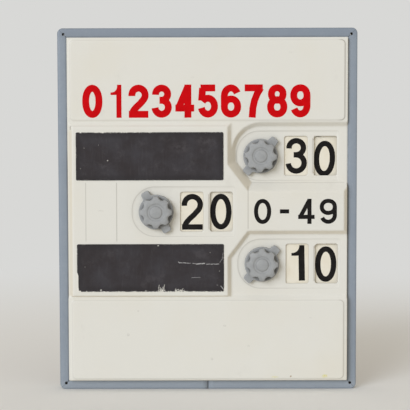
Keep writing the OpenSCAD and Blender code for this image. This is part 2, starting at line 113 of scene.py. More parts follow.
def skin(name, points, wrap_rows=False, painted_shade=None):
    """A piece over a grid of points, whose columns close round it and whose rows may too.

    The last argument says from 0 to 1 how much painted shade each point gets, in corners and creases and on the
    side away from the light.
    """
    rows, columns = points.shape[:2]
    i, j = np.meshgrid(
        np.arange(rows if wrap_rows else rows - 1), np.arange(columns), indexing="ij"
    )
    below, beside = (i + 1) % rows, (j + 1) % columns
    corners = [i * columns + j, i * columns + beside, below * columns + beside, below * columns + j]
    mesh = bpy.data.meshes.new(name)
    mesh.from_pydata(
        points.reshape(-1, 3).tolist(), [], np.stack(corners, axis=-1).reshape(-1, 4).tolist()
    )
    if painted_shade is not None:
        layer = mesh.attributes.new("painted_shade", "FLOAT", "POINT")
        layer.data.foreach_set("value", painted_shade.astype(np.float32).ravel())
    finished(mesh)
    piece = bpy.data.objects.new(name, mesh)
    bpy.context.scene.collection.objects.link(piece)
    return piece


def apply_modifiers(piece):
    """Makes what the piece's modifiers give its mesh."""
    graph = bpy.context.evaluated_depsgraph_get()
    mesh = bpy.data.meshes.new_from_object(piece.evaluated_get(graph))
    piece.modifiers.clear()
    piece.data = mesh


def ramp(low, high, value):
    """0 below low, 1 above high and a smooth S between them."""
    t = np.clip((value - low) / (high - low), 0, 1)
    return t * t * (3 - 2 * t)


def crowded(count):
    """Numbers from 0 to 1, closer together towards both ends."""
    return (1 - np.cos(np.linspace(0, np.pi, count))) / 2


def soft_least(a, b, width):
    """The lesser of a and b, rounded where they cross."""
    blend = np.clip(0.5 + 0.5 * (b - a) / width, 0, 1)
    return b + (a - b) * blend - width * blend * (1 - blend)


def level_radius(inside, theta, level, low, high):
    """Radius along each direction theta at which inside(radius, theta) falls to level.

    It lies between low and high, and is found by halving the gap between them.
    """
    near = np.full_like(theta, low)
    far = np.full_like(theta, high)
    for _ in range(HALVINGS):
        half = (near + far) / 2
        within = inside(half, theta) > level
        near = np.where(within, half, near)
        far = np.where(within, far, half)
    return (near + far) / 2


# Materials


class Value:
    """A number that varies over a surface; sums and products of values add Math nodes."""

    def __init__(self, finish, socket):
        self.finish = finish
        self.socket = socket

    def maths(self, operation, *terms):
        """A Math node over terms, in their order."""
        return self.finish.node(
            "ShaderNodeMath", {"operation": operation}, dict(enumerate(terms))
        )

    def __add__(self, other):
        return self.maths("ADD", self, other)

    def __sub__(self, other):
        return self.maths("SUBTRACT", self, other)

    def __rsub__(self, other):
        return self.maths("SUBTRACT", other, self)

    def __mul__(self, other):
        return self.maths("MULTIPLY", self, other)

    def __truediv__(self, other):
        return self.maths("DIVIDE", self, other)

    def __pow__(self, other):
        return self.maths("POWER", self, other)

    def __abs__(self):
        return self.maths("ABSOLUTE", self)

    __radd__ = __add__
    __rmul__ = __mul__

    def least(self, other):
        """The lesser of the two."""
        return self.maths("MINIMUM", self, other)

    def most(self, other):
        """The greater of the two."""
        return self.maths("MAXIMUM", self, other)

    def sine(self):
        """The sine of the value."""
        return self.maths("SINE", self)

    def rise(self, low, high):
        """0 below low, 1 above high and a smooth S between them."""
        return self.finish.node(
            "ShaderNodeMapRange",
            {"interpolation_type": "SMOOTHSTEP"},
            {0: self, 1: low, 2: high, 3: 0.0, 4: 1.0},
        )

    def fall(self, low, high):
        """1 below low, 0 above high and a smooth S between them."""
        return 1 - self.rise(low, high)


def any_of(masks):
    """The greatest of the masks, which is 1 where any of them is 1."""
    first, *others = masks
    for mask in others:
        first = first.most(mask)
    return first


def srgb(red, green, blue):
    """A colour as it is seen on screen, from 0 to 255, in the renderer's linear values."""
    shown = np.array([red, green, blue]) / 255
    linear = np.where(shown <= 0.04045, shown / 12.92, ((shown + 0.055) / 1.055) ** 2.4)
    return (*linear.tolist(), 1.0)


class Finish:
    """A material: its nodes, and the place on the piece in millimetres."""

    def __init__(self, name):
        self.material = bpy.data.materials.new(name)
        self.material.use_nodes = True
        self.tree = self.material.node_tree
        self.tree.nodes.clear()
        self.place = self.node("ShaderNodeTexCoord", output="Object")
        self.point = self.node(
            "ShaderNodeVectorMath", {"operation": "SCALE"}, {0: self.place, "Scale": 1 / MM}
        )
        self.x, y, self.z = self.split(self.point)
        self.depth = BACK_Y / MM - y

    def node(self, kind, settings=None, inputs=None, output=0):
        """A node of a kind: its settings, then the values or links of its sockets."""
        made = self.tree.nodes.new(kind)
        for key, value in (settings or {}).items():
            setattr(made, key, value)
        for key, value in (inputs or {}).items():
            if isinstance(value, Value):
                self.tree.links.new(value.socket, made.inputs[key])
            else:
                made.inputs[key].default_value = value
        return Value(self, made.outputs[output]) if made.outputs else None

    def split(self, vector):
        """The x, y and z of a vector."""
        return [self.node("ShaderNodeSeparateXYZ", None, {0: vector}, k) for k in range(3)]

    def mix(self, mask, under, over):
        """The colour under, with the colour over where mask is 1."""
        return self.node(
            "ShaderNodeMix", {"data_type": "RGBA"}, {0: mask, 6: under, 7: over}, output=2
        )

    def noise(self, size, detail=2.0, rough=0.5, stretch=(1, 1, 1), seed=0.0):
        """Soft noise from 0 to 1, in patches of a size in millimetres.

        A stretch over 1 makes the patches longer along that axis, and seed shifts them.
        """
        shifted = self.node(
            "ShaderNodeMapping",
            {"vector_type": "TEXTURE"},
            {0: self.point, 1: (seed, 2 * seed, 3 * seed), 3: stretch},
        )
        return self.node(
            "ShaderNodeTexNoise",
            inputs={"Vector": shifted, "Scale": 1 / size, "Detail": detail, "Roughness": rough},
        )

    def spot(self, x, z, wide, high, torn, soft=0.5):
        """1 in the middle of an oval at x, z and 0 outside it; torn makes its edge ragged."""
        across = (self.x - x) / (wide / 2)
        up = (self.z - z) / (high / 2)
        return (across * across + up * up + torn).fall(1 - soft, 1 + soft)

    def scratch(self, start, end, width, wander):
        """1 along a line of a half width between two points; wander bends it to either side."""
        (x0, z0), (x1, z1) = start, end
        length = math.hypot(x1 - x0, z1 - z0)
        cos, sin = (x1 - x0) / length, (z1 - z0) / length
        along = (self.x - x0) * cos + (self.z - z0) * sin
        aside = (self.z - z0) * cos - (self.x - x0) * sin + wander
        within = along.rise(-width, width) * along.fall(length - width, length + width)
        return abs(aside).fall(width * 0.3, width) * within

    def outside(self, x, z, wide, high, left_r, right_r):
        """Distance outside a rectangle at x, z, less than 0 in it.

        Its left and its right corners each have a radius.
        """
        across = self.x - x
        corner = across.rise(-1, 1) * (right_r - left_r) + left_r
        out_x = abs(across) - wide / 2 + corner
        out_z = abs(self.z - z) - high / 2 + corner
        beyond_x, beyond_z = out_x.most(0), out_z.most(0)
        beyond = (beyond_x * beyond_x + beyond_z * beyond_z) ** 0.5
        return beyond + out_x.most(out_z).least(0) - corner

    def done(self, colour, rough, bump, depth, sheen=0.5, metal=0.0):
        """Ends the material in a surface shader; bump is a height of up to `depth` millimetres."""
        raised = {"Strength": 1.0, "Distance": depth * MM, "Height": bump}
        inputs = {
            "Base Color": colour,
            "Roughness": rough,
            "Normal": self.node("ShaderNodeBump", inputs=raised),
            "Specular IOR Level": sheen,
            "Metallic": metal,
        }
        surface = self.node("ShaderNodeBsdfPrincipled", inputs=inputs)
        self.node("ShaderNodeOutputMaterial", inputs={0: surface})
        return self.material


CREAM = srgb(223, 220, 210)
CREAM_AGED = srgb(221, 213, 193)
CREAM_SHADED = srgb(214, 202, 178)
CREAM_LIT = srgb(236, 234, 226)
GRIME_AND_SHADE = srgb(96, 84, 66)
PAINTED_SHADE_DARK = srgb(52, 48, 44)
RUST = srgb(150, 118, 70)
YELLOWED = srgb(218, 208, 84)

# The windows and the shallow recess, from the hub of their counter
TENS_AT = 72.5
UNITS_AT = 132.5
WINDOW_W, WINDOW_H = 45.2, 79.5
WINDOW_CORNER = 3.5
WINDOW_CHAMFER = 3.6
RECESS = {"x": 55.5, "z": 0.5, "wide": 209, "high": 101, "left_r": 47, "right_r": 4}

# The two raised fields and the label plate
HEADING_FIELD = {"x": 0, "z": 634, "wide": 558, "high": 162, "left_r": 8, "right_r": 8}
LOWER_FIELD = {"x": 0, "z": 105.15, "wide": 554.6, "high": 161.3, "left_r": 8, "right_r": 8}
PLATE_LOW, PLATE_HIGH = 317, 423

# Straight lines of painted shade beside the steps: where they lie, where they fade in and out, from and to what
# distance their edge fades, and how dark they are. The upright ones lie at an x, the level ones at a z.
UPRIGHT_LINES = [
    (-247.8, (304, 310), (425, 428), (0.2, 1.5), 0.26),
    (-185, (304, 310), (425, 428), (0.2, 1.5), 0.34),
    (82.3, (330, 334), (417, 421), (0.4, 1.7), 0.28),
]
LEVEL_LINES = [
    (541.5, (-279, -267), (33, 45), (0.3, 1.6), 0.1),
    (425.8, (84, 96), (278, 281), (0.4, 1.8), 0.14),
]

# Marks: x, z, width, height and how dark they are
SMUDGES = [
    (-162.6, 115.6, 5, 5, 0.30),
    (-142.1, 164.3, 4, 3, 0.22),
    (34.4, 133.7, 6, 4, 0.18),
    (8.1, 65.1, 5, 5, 0.20),
    (83, 91.8, 4, 4, 0.24),
    (-216.8, 369.8, 13, 3, 0.14),
    (-278.5, 538, 2.2, 8, 0.9),
    (-277.6, 541.5, 3.4, 2, 0.7),
    (210, 150, 5, 3, 0.14),
    (-30, 640, 6, 4, 0.10),
    (170, 690, 8, 4, 0.10),
]
STAINS = [(239.3, 29.5, 11, 6, 0.75), (137.3, 27.6, 14, 4, 0.35)]
RUST_SPOT = (169.7, 29, 3, 3)


def from_edges(f):
    """Distances in from the board's side edges, and from its top and bottom."""
    return BOARD_W / 2 - abs(f.x), BOARD_H / 2 - abs(f.z - BOARD_H / 2)


def by_plate(f):
    """1 at the height of the label plate and 0 above and below it."""
    return f.z.rise(PLATE_LOW - 5, PLATE_LOW + 5) * f.z.fall(PLATE_HIGH - 5, PLATE_HIGH + 5)


def in_holes(f):
    """Painted shade: 1 in and right round the corner holes, where the dark of the holes has crept out."""
    side_x, side_z = (inward - HOLE_INSET for inward in from_edges(f))
    return ((side_x * side_x + side_z * side_z) ** 0.5).fall(HOLE_R + 0.1, HOLE_R + 0.8) * 0.9


def panel_lines(f):
    """How dark the lines of painted shade along the moulding are: round each counter, and beside the steps."""
    lines = []
    for counter in COUNTERS:
        x, _, z = np.array(HUBS[f"tens_dial_{counter}"]) / MM
        shape = dict(RECESS, x=x + RECESS["x"], z=z + RECESS["z"])
        level = depth_of(f"hub_bush_{counter}") - BUSH_RISE
        on_level = abs(f.depth - level).fall(0.9, 1.6)
        fading = 0.2 - f.x.rise(x + 20, x + 150) * 0.12
        lines.append(abs(f.outside(**shape)).fall(0.2, 1.5) * on_level * fading)
        for along, dark in ((TENS_AT, 0.28), (UNITS_AT, 0.16)):
            rim = f.outside(x + along, z, WINDOW_W, WINDOW_H, WINDOW_CORNER, WINDOW_CORNER)
            lines.append(abs(rim - 0.3).fall(0.2, 1.2) * dark)
        chamfer_x = x + UNITS_AT - WINDOW_W / 2 - WINDOW_CHAMFER
        chamfer = abs(f.x - chamfer_x).fall(0.2, 1.2)
        lines.append(chamfer * abs(f.z - z).fall(WINDOW_H / 2 - 5, WINDOW_H / 2 - 3) * 0.32)
    for across, along, straight in ((f.x, f.z, UPRIGHT_LINES), (f.z, f.x, LEVEL_LINES)):
        for at, start, end, edge, dark in straight:
            line = abs(across - at).fall(*edge) * along.rise(*start) * along.fall(*end)
            lines.append(line * dark)
    for field, dark in ((HEADING_FIELD, 0.42), (LOWER_FIELD, 0.26)):
        outline = abs(f.outside(**field)).fall(0.4, 1.7)
        lines.append(outline * (f.x.rise(262, 274) * (dark - 0.1) + 0.1))
    return any_of(lines)


def panel_plastic():
    """Moulded cream sheet: slightly yellowed in patches, with specks and smudges of dirt, painted shade on its
    slopes, along its steps and by the trim, and painted light on its upward slopes.
    """
    f = Finish("panel_plastic")
    colour = f.mix(f.noise(160, 3).rise(0.42, 0.8) * 0.35, CREAM, CREAM_AGED)
    smudges = f.noise(45, 5, 0.6, stretch=(1, 1, 1.6), seed=7).rise(0.62, 0.8) * 0.08
    specks = f.noise(3.5, 2, seed=3).rise(0.74, 0.8) * f.noise(60, 2, seed=5).rise(0.5, 0.7) * 0.3
    torn = f.noise(2.2, 3, 0.6, seed=9) * 4 - 2
    marks = [f.spot(x, z, wide, high, torn, 0.9) * dark for x, z, wide, high, dark in SMUDGES]
    ragged = f.noise(2.5, 3, seed=9).rise(0.3, 0.6)
    colour = f.mix(any_of([smudges, specks, any_of(marks) * ragged]), colour, GRIME_AND_SHADE)
    stains = [f.spot(x, z, wide, high, torn, 0.9) * dark for x, z, wide, high, dark in STAINS]
    colour = f.mix(any_of(stains) * ragged, colour, YELLOWED)
    colour = f.mix(f.spot(*RUST_SPOT, torn, 0.9) * 0.8, colour, RUST)
    # Painted shade on the slopes that face down or sideways, stronger below the heading field, and painted light
    # on the slopes that face up.
    facing_x, facing_y, facing_z = f.split(f.node("ShaderNodeTexCoord", output="Normal"))
    slope = (1 - abs(facing_y)).rise(0.05, 0.3)
    upward = facing_z.rise(0.05, 0.35) * (1 - facing_x.rise(0.1, 0.4))
    below_heading = f.z.fall(528, 536)
    colour = f.mix(slope * (1 - upward) * (0.12 + below_heading * 0.4), colour, CREAM_SHADED)
    colour = f.mix(slope * upward * 0.3, colour, CREAM_LIT)
    # Painted shade along the moulding's steps, recess outlines and window edges.
    colour = f.mix(panel_lines(f), colour, GRIME_AND_SHADE)
    # Painted shade in the gap beside the trim, on the right below the heading and darkest by the label plate, and
    # on the left lower down; all of the sheet under the trim is darkened too.
    right_edge = f.x.rise(PANEL_EDGE - 2.8, PANEL_EDGE - 0.4)
    left_edge = f.x.fall(-PANEL_EDGE, 1.2 - PANEL_EDGE)
    by_trim = right_edge * (f.z.fall(545, 553) * 0.25 + by_plate(f) * 0.45)
    by_trim = by_trim.most(left_edge * f.z.fall(440, 520) * 0.5)
    side_x, side_z = from_edges(f)
    under_trim = side_x.least(side_z).fall(TRIM_W - 1.2, TRIM_W - 0.2)
    colour = f.mix(by_trim.most(under_trim), colour, PAINTED_SHADE_DARK)
    rough = 0.42 + f.noise(30, 4, seed=2) * 0.2
    pebble = f.noise(1.3, 2, seed=1) * 0.25 + f.noise(90, 2, seed=4) * 5
    return f.done(colour, rough, pebble, 0.12)


TRIM_BLUE = srgb(140, 149, 159)
TRIM_DEEP = srgb(130, 139, 150)
TRIM_PALE = srgb(149, 157, 165)
TRIM_RUBBED = srgb(176, 181, 186)
TRIM_TOP_SHADED = srgb(124, 133, 145)
TRIM_FOOT_LIT = srgb(154, 161, 168)
TRIM_OUTER_SHADED = srgb(104, 113, 124)
TRIM_CREASE = srgb(64, 70, 78)


def trim_plastic():
    """Blue-grey extruded edging: mottled, rubbed lengthwise, creased where it is mitred, with painted shade along
    its edges, its top and in its holes, and painted light along its foot.
    """
    f = Finish("trim_plastic")
    colour = f.mix(f.noise(60, 4).rise(0.35, 0.75) * 0.5, TRIM_BLUE, TRIM_DEEP)
    mottle = f.noise(7, 3, 0.6, seed=5).rise(0.5, 0.72) * 0.35
    colour = f.mix(mottle, colour, TRIM_PALE)
    rubs = f.noise(2.5, 3, 0.6, stretch=(1, 1, 12), seed=4).rise(0.66, 0.8) * 0.3
    colour = f.mix(rubs, colour, TRIM_RUBBED)
    side_x, side_z = from_edges(f)
    crease = abs(side_x - side_z).fall(0.2, 1.0) * side_x.fall(TRIM_W - 1, TRIM_W) * 0.55
    joint = abs(f.x).fall(0.5, 1.6) * f.z.fall(TRIM_W, TRIM_W + 2) * 0.8
    nearest = side_x.least(side_z)
    inner = nearest.rise(TRIM_W - 4, TRIM_W - 1.2)
    # Painted shade along the trim's inner edge: strongest beside the label plate on the right, and uneven all
    # round.
    shaded = f.x.rise(270, 286) * by_plate(f) * 0.6
    dust_and_shade = 0.15 + f.noise(30, 2, seed=6).rise(0.3, 0.7) * 0.2
    front = f.depth.rise(TRIM_D - 6, TRIM_D - 3)
    # Painted shade along the top of the trim and painted light along its foot.
    colour = f.mix(f.z.rise(BOARD_H - 25, BOARD_H - 10) * 0.5, colour, TRIM_TOP_SHADED)
    colour = f.mix(f.z.fall(10, 25) * 0.6, colour, TRIM_FOOT_LIT)
    # Painted shade along the trim's outer edge, where its front rounds away.
    outer = nearest.fall(0.5, 3.2) * 0.4
    colour = f.mix(outer * front, colour, TRIM_OUTER_SHADED)
    colour = f.mix(inner * shaded.most(dust_and_shade) * front, colour, PAINTED_SHADE_DARK)
    colour = f.mix(crease.most(joint) * front, colour, TRIM_CREASE)
    # Painted shade in and round the corner holes.
    colour = f.mix(in_holes(f), colour, PAINTED_SHADE_DARK)
    rough = 0.4 + f.noise(14, 3, seed=2) * 0.2
    return f.done(colour, rough, f.noise(3, 3, seed=8), 0.05)


KNOB_GREY = srgb(159, 160, 159)
KNOB_DEEP = srgb(146, 147, 147)
KNOB_RUBBED = srgb(190, 190, 186)
KNOB_SHADE = srgb(56, 54, 52)


def knob_plastic():
    """Grey moulding, lighter where hands have rubbed it, with painted shade in its flutes and creases, darkest on
    the side away from the light.
    """
    f = Finish("knob_plastic")
    colour = f.mix(f.noise(9, 4).rise(0.35, 0.7) * 0.6, KNOB_GREY, KNOB_DEEP)
    colour = f.mix(f.noise(1.6, 2, seed=6).rise(0.66, 0.74) * 0.35, colour, KNOB_RUBBED)
    # Painted shade in the knobs' flutes, creases and on their side away from the light.
    shade_mask = f.node("ShaderNodeAttribute", {"attribute_name": "painted_shade"}, output="Fac")
    colour = f.mix(shade_mask * (0.65 + f.noise(4, 2, seed=9) * 0.4), colour, KNOB_SHADE)
    rough = 0.5 + f.noise(6, 3, seed=2) * 0.2
    return f.done(colour, rough, f.noise(1.2, 2, seed=3), 0.06)


SLATE = srgb(53, 48, 49)
SLATE_PALE = srgb(62, 59, 62)
SLATE_EDGE = srgb(45, 42, 43)
CHIP = srgb(228, 224, 213)
CHALK = srgb(122, 117, 119)
SCRATCH = srgb(190, 188, 186)
FILM_CORNER = 3

# Chalk lines and the strokes where the film has chipped off: start, end and half width
SCRATCHES = [
    ((-58.6, 263.4), (-35, 262.4), 0.9),
    ((-31, 261.6), (-24, 261.2), 0.7),
    ((-24, 260.8), (-5.6, 261.6), 1.5),
    ((-3, 260.2), (23, 260.4), 0.9),
    ((-60, 265), (-57, 262.6), 1.0),
    ((-33, 233), (-15, 233.2), 0.38),
    ((30.5, 283), (29.5, 270), 0.35),
    ((29.5, 270), (24, 263.5), 0.4),
    ((26.5, 216), (31.5, 209), 0.9),
    ((18, 217.5), (21, 216.8), 0.6),
]
STROKES = [
    ((-100.5, 207), (-99, 218), 0.7),
    ((-98, 206), (-96.6, 213), 1.0),
    ((-95, 206), (-95.2, 211), 1.1),
    ((-92, 206), (-91, 214), 0.9),
    ((-89.6, 206), (-88.4, 218.5), 0.8),
    ((-66, 206.5), (-65, 210.5), 0.7),
    ((-63, 208), (-59, 209), 0.7),
    ((-53, 208.6), (-50, 211), 0.6),
]

# Spots where the film has chipped off: x, z, width, height and how bare they are
CHIPS = [
    (-94.5, 206, 13, 5, 1.0),
    (-64, 206.5, 6, 3, 0.9),
    (-54, 206, 12, 3.4, 0.9),
    (-126, 205.5, 3, 3, 0.8),
    (-218, 207, 4, 4, 0.8),
    (-101, 298, 3, 2, 0.8),
    (-202.8, 471.8, 1.9, 2.3, 0.9),
    (-257.7, 455.7, 1.6, 2.0, 0.55),
    (-250, 497, 1.4, 2, 0.35),
    (-221, 503, 1.2, 1.6, 0.3),
    (-250, 255, 2.0, 1.8, 0.3),
    (5, 284, 2, 1.6, 0.3),
    (24, 246, 2.2, 1.8, 0.35),
]


def blackboard_film():
    """Chalkboard film with worn edges, wiped chalk and scratches down to the cream sheet."""
    f = Finish("blackboard_film")
    colour = f.mix(f.noise(50, 5, 0.6).rise(0.35, 0.7), SLATE, SLATE_PALE)
    wiped = f.noise(5, 4, 0.6, stretch=(1, 1, 8), seed=8).rise(0.5, 0.78) * 0.06
    dust_and_shade = f.noise(26, 4, 0.65, seed=11).rise(0.5, 0.75) * 0.12
    drift = f.noise(14, 3, 0.6, seed=12) * 3 - 1.5
    clouds = [f.spot(-55.7, 497, 44, 26, drift, 0.9), f.spot(-5, 511, 36, 22, drift, 0.9)]
    cloudy = any_of(clouds) * f.noise(7, 4, 0.6, seed=12).rise(0.3, 0.7) * 0.15
    colour = f.mix(any_of([wiped, dust_and_shade, cloudy]), colour, CHALK)
    inside = []
    for strip in ("blackboard_upper", "blackboard_lower"):
        low, high = (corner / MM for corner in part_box(strip))
        at, size = (low + high) / 2, high - low
        inside.append(0 - f.outside(at.x, at.z, size.x, size.z, FILM_CORNER, FILM_CORNER))
    edge = any_of(inside)
    colour = f.mix(edge.fall(2, 16) * 0.6, colour, SLATE_EDGE)
    bite = f.noise(3.0, 4, 0.65, seed=14) * 7 - 3.2
    patches = f.noise(46, 2, seed=15).rise(0.46, 0.62)
    rubbed = 0.1 + patches * 0.5
    top_left = f.x.fall(-190, -90) * f.z.rise(520, 526) * 1.3
    low_edge = f.z.fall(208, 212)
    low_left = f.x.fall(-262, -257) * f.z.fall(236, 246) * 2.6
    worn = (bite * (rubbed + top_left + low_edge) + low_left - edge).rise(0.1, 0.6)
    flecks = f.noise(1.4, 3, 0.7, stretch=(1, 1, 2.2), seed=16).rise(0.4, 0.52)
    torn = f.noise(1.7, 3, 0.65, seed=19) * 5 - 2.5
    wander = f.noise(6, 3, 0.6, seed=20) * 2.4 - 1.2
    chips = [f.spot(x, z, wide, high, torn) * pale for x, z, wide, high, pale in CHIPS]
    chips += [f.scratch(start, end, width, wander) for start, end, width in STROKES]
    lines = [f.scratch(start, end, width, wander) for start, end, width in SCRATCHES]
    broken = f.noise(2.6, 3, 0.6, seed=17).rise(0.34, 0.52)
    scratched = any_of(lines) * broken
    nicks = edge.fall(0.4, 2.8) * f.noise(1.3, 3, 0.6, seed=18).rise(0.56, 0.66)
    nicks = nicks * (0.25 + patches.most(low_edge) * 0.6)
    bare = any_of([worn, any_of(chips) * flecks, nicks])
    colour = f.mix(bare, f.mix(scratched * 0.9, colour, SCRATCH), CHIP)
    rough = 0.68 + f.noise(12, 3, seed=2) * 0.15
    return f.done(colour, rough, f.noise(1.0, 3, seed=3) * 0.5 - bare, 0.05, sheen=0.22)


FILM_RED = srgb(206, 6, 14)
FILM_RED_DEEP = srgb(192, 3, 10)
FILM_BLACK = srgb(26, 24, 23)
FILM_BLACK_WORN = srgb(36, 33, 31)
FILM_NICK = srgb(150, 144, 130)


def red_film():
    """Red stick-on film, slightly uneven in depth of colour."""
    f = Finish("red_film")
    colour = f.mix(f.noise(20, 4).rise(0.3, 0.8), FILM_RED, FILM_RED_DEEP)
    rough = 0.45 + f.noise(8, 3, seed=2) * 0.15
    return f.done(colour, rough, f.noise(4, 2, seed=3), 0.03, sheen=0.05)


def black_film():
    """Black stick-on film with a few pale nicks."""
    f = Finish("black_film")
    colour = f.mix(f.noise(12, 4).rise(0.4, 0.8), FILM_BLACK, FILM_BLACK_WORN)
    colour = f.mix(f.noise(1.9, 2, seed=5).rise(0.76, 0.8) * 0.5, colour, FILM_NICK)
    rough = 0.45 + f.noise(8, 3, seed=2) * 0.2
    return f.done(colour, rough, f.noise(4, 2, seed=3), 0.03, sheen=0.08)


DISC_CREAM = srgb(233, 226, 209)
DISC_AGED = srgb(228, 219, 198)


def disc_plastic():
    """Thin cream sheet, more yellow than the panel."""
    f = Finish("disc_plastic")
    colour = f.mix(f.noise(35, 4).rise(0.3, 0.75), DISC_CREAM, DISC_AGED)
    return f.done(colour, 0.4 + f.noise(10, 3, seed=2) * 0.15, f.noise(2, 2, seed=3), 0.03)


MESH_PITCH = 1.6
FIBRE_DARK = srgb(112, 79, 51)
FIBRE_PALE = srgb(146, 108, 74)
FIBRE_STAIN = srgb(98, 70, 47)
WOOD_PALE = srgb(205, 172, 122)
WOOD_GRAIN = srgb(176, 138, 88)
NYLON = srgb(226, 222, 208)
NYLON_AGED = srgb(212, 206, 190)
ZINC = srgb(198, 198, 202)
ZINC_DULL = srgb(170, 172, 178)


def hardboard():
    """Pressed fibre board with the print of its mesh and long fibres."""
    f = Finish("hardboard")
    fibres = f.noise(2.2, 5, 0.7, stretch=(3, 1, 1), seed=4)
    colour = f.mix(fibres.rise(0.3, 0.7), FIBRE_DARK, FIBRE_PALE)
    colour = f.mix(f.noise(160, 3, seed=2).rise(0.35, 0.75) * 0.25, colour, FIBRE_STAIN)
    # Painted shade in and round the corner holes.
    colour = f.mix(in_holes(f), colour, PAINTED_SHADE_DARK)
    waves = math.tau / MESH_PITCH
    mesh_x, mesh_z = (f.x * waves).sine(), (f.z * waves).sine()
    return f.done(colour, 0.8, mesh_x * mesh_z + fibres * 2, 0.12)


def batten_wood():
    """Sawn softwood with long grain."""
    f = Finish("batten_wood")
    grain = f.noise(2, 4, 0.6, stretch=(20, 1, 1))
    colour = f.mix(grain.rise(0.3, 0.7), WOOD_PALE, WOOD_GRAIN)
    # Painted shade in and round the corner holes.
    colour = f.mix(in_holes(f), colour, PAINTED_SHADE_DARK)
    return f.done(colour, 0.75, grain, 0.15)


def bush_nylon():
    """Off-white nylon, a little yellowed."""
    f = Finish("bush_nylon")
    colour = f.mix(f.noise(6, 3).rise(0.3, 0.7), NYLON, NYLON_AGED)
    return f.done(colour, 0.45, f.noise(1, 2, seed=3), 0.03)


def zinc_steel():
    """Zinc-plated steel with the soft mottle of its plating."""
    f = Finish("zinc_steel")
    colour = f.mix(f.noise(3, 4).rise(0.3, 0.7), ZINC, ZINC_DULL)
    rough = 0.32 + f.noise(2, 3, seed=2) * 0.2
    return f.done(colour, rough, f.noise(0.8, 3, seed=3), 0.03, metal=1.0)


FINISHES = {
    make.__name__: make()
    for make in (
        panel_plastic,
        trim_plastic,
        knob_plastic,
        blackboard_film,
        red_film,
        black_film,
        disc_plastic,
        hardboard,
        batten_wood,
        bush_nylon,
        zinc_steel,
    )
}
SLOTS = {part["node"]: part["material_slot"] for part in frame["record"]["subparts"]}


def dress(piece, slot):
    """Gives a piece the finish of a material slot."""
    piece.data.materials.clear()
    piece.data.materials.append(FINISHES[slot])


def fit(piece, body, nodes):
    """Puts a finished piece on its body in the place of CAD nodes, with their finish."""
    slot = SLOTS[nodes[0]]
    dress(piece, slot)
    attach(piece, body)
    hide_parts(*nodes)


# Moulded panel

GRAIN = 1.6  # size of the voxels
SOFT_PASSES = 3
KEPT = 0.25  # share of the faces that is kept


def moulded_panel():
    """The CAD panel with every edge softened, as a sheet drawn over a mould comes out.

    A merged copy of it is drawn over with one skin of voxels, smoothed and thinned.
    """
    mesh = frame["nodes"]["front_panel"].data.copy()
    mesh.name = "moulded_panel"
    finished(mesh, smooth=False)
    piece = bpy.data.objects.new("moulded_panel", mesh)
    bpy.context.scene.collection.objects.link(piece)
    remesh = piece.modifiers.new("one_skin", "REMESH")
    remesh.mode = "VOXEL"
    remesh.voxel_size = GRAIN * MM
    soften = piece.modifiers.new("soft_edges", "SMOOTH")
    soften.factor = 0.5
    soften.iterations = SOFT_PASSES
    thin = piece.modifiers.new("fewer_faces", "DECIMATE")
    thin.ratio = KEPT
    apply_modifiers(piece)
    piece.data.shade_smooth()
    fit(piece, "board", ["front_panel"])


# Edge trim

TRIM_WALL = 2.0
TRIM_CORNER = 11.0
SLIT_W = 0.6
SLIT_DEPTH = 1.5 * TRIM_WALL
SECTION_STEPS = 25
SIDE_STEPS = 40
CORNER_STEPS = 9
FRONT_DOME = 2.6  # powers of the ovals that round the trim's front and rear
REAR_FLAT = 12


def round_path(inset):
    """x and z of a loop round the board, `inset` inside its outer edge.

    Its straight sides lie inset from the edge; each corner is an arc about a fixed centre,
    of the corner radius less the inset, or that centre's mitre point where nothing is left.
    Along each side the points crowd towards the corners, so that no long face meets a hole.
    """
    half_w, half_h = BOARD_W / 2, BOARD_H / 2
    radius = np.maximum(TRIM_CORNER - inset, 0)
    reach = np.maximum(inset, TRIM_CORNER)
    sides = crowded(SIDE_STEPS)[1:-1]
    x, z = [], []
    corners = [(1, 1), (-1, 1), (-1, -1), (1, -1)]
    for k, (sx, sz) in enumerate(corners):
        angle = np.radians(90 * k + np.linspace(0, 90, CORNER_STEPS))[None, :]
        cx = sx * (half_w - reach)
        cz = sz * (half_h - reach)
        x.append(cx + radius * np.cos(angle))
        z.append(cz + radius * np.sin(angle))
        next_sx, next_sz = corners[(k + 1) % 4]
        turn = np.radians(90 * (k + 1))
        x0, z0 = cx + radius * np.cos(turn), cz + radius * np.sin(turn)
        x1 = next_sx * (half_w - reach) + radius * np.cos(turn)
        z1 = next_sz * (half_h - reach) + radius * np.sin(turn)
        x.append(x0 + (x1 - x0) * sides)
        z.append(z0 + (z1 - z0) * sides)
    return np.concatenate(x, axis=1), np.concatenate(z, axis=1) + half_h


def trim_section():
    """Inset and depth round the channel: a domed front, a plain inside and a flat rear.

    Front and rear are halves of ovals |a|^n + |b|^n = 1, as wide as the trim and as deep as
    its wall: the greater n, the flatter the face and the tighter its corners.
    """
    across = crowded(SECTION_STEPS)
    dome = (1 - np.abs(2 * across - 1) ** FRONT_DOME) ** (1 / FRONT_DOME)
    flat = (1 - np.abs(2 * across - 1) ** REAR_FLAT) ** (1 / REAR_FLAT)
    front = TRIM_D - TRIM_WALL + TRIM_WALL * dome
    rear = (TRIM_WALL - TRIM_WALL * flat)[::-1]
    wide = across * TRIM_W
    inset = np.concatenate([wide, [TRIM_WALL, TRIM_WALL], wide[::-1]])
    depth = np.concatenate([front, [TRIM_D - TRIM_WALL, TRIM_WALL], rear])
    return inset, depth


def box_points(x0, x1, z0, z1, turn=0.0, about=(0.0, 0.0)):
    """The outline of a rectangle turned about a point, as x and z."""
    x = np.array([x0, x1, x1, x0])
    z = np.array([z0, z0, z1, z1])
    cos, sin = math.cos(turn), math.sin(turn)
    return about[0] + x * cos - z * sin, about[1] + x * sin + z * cos


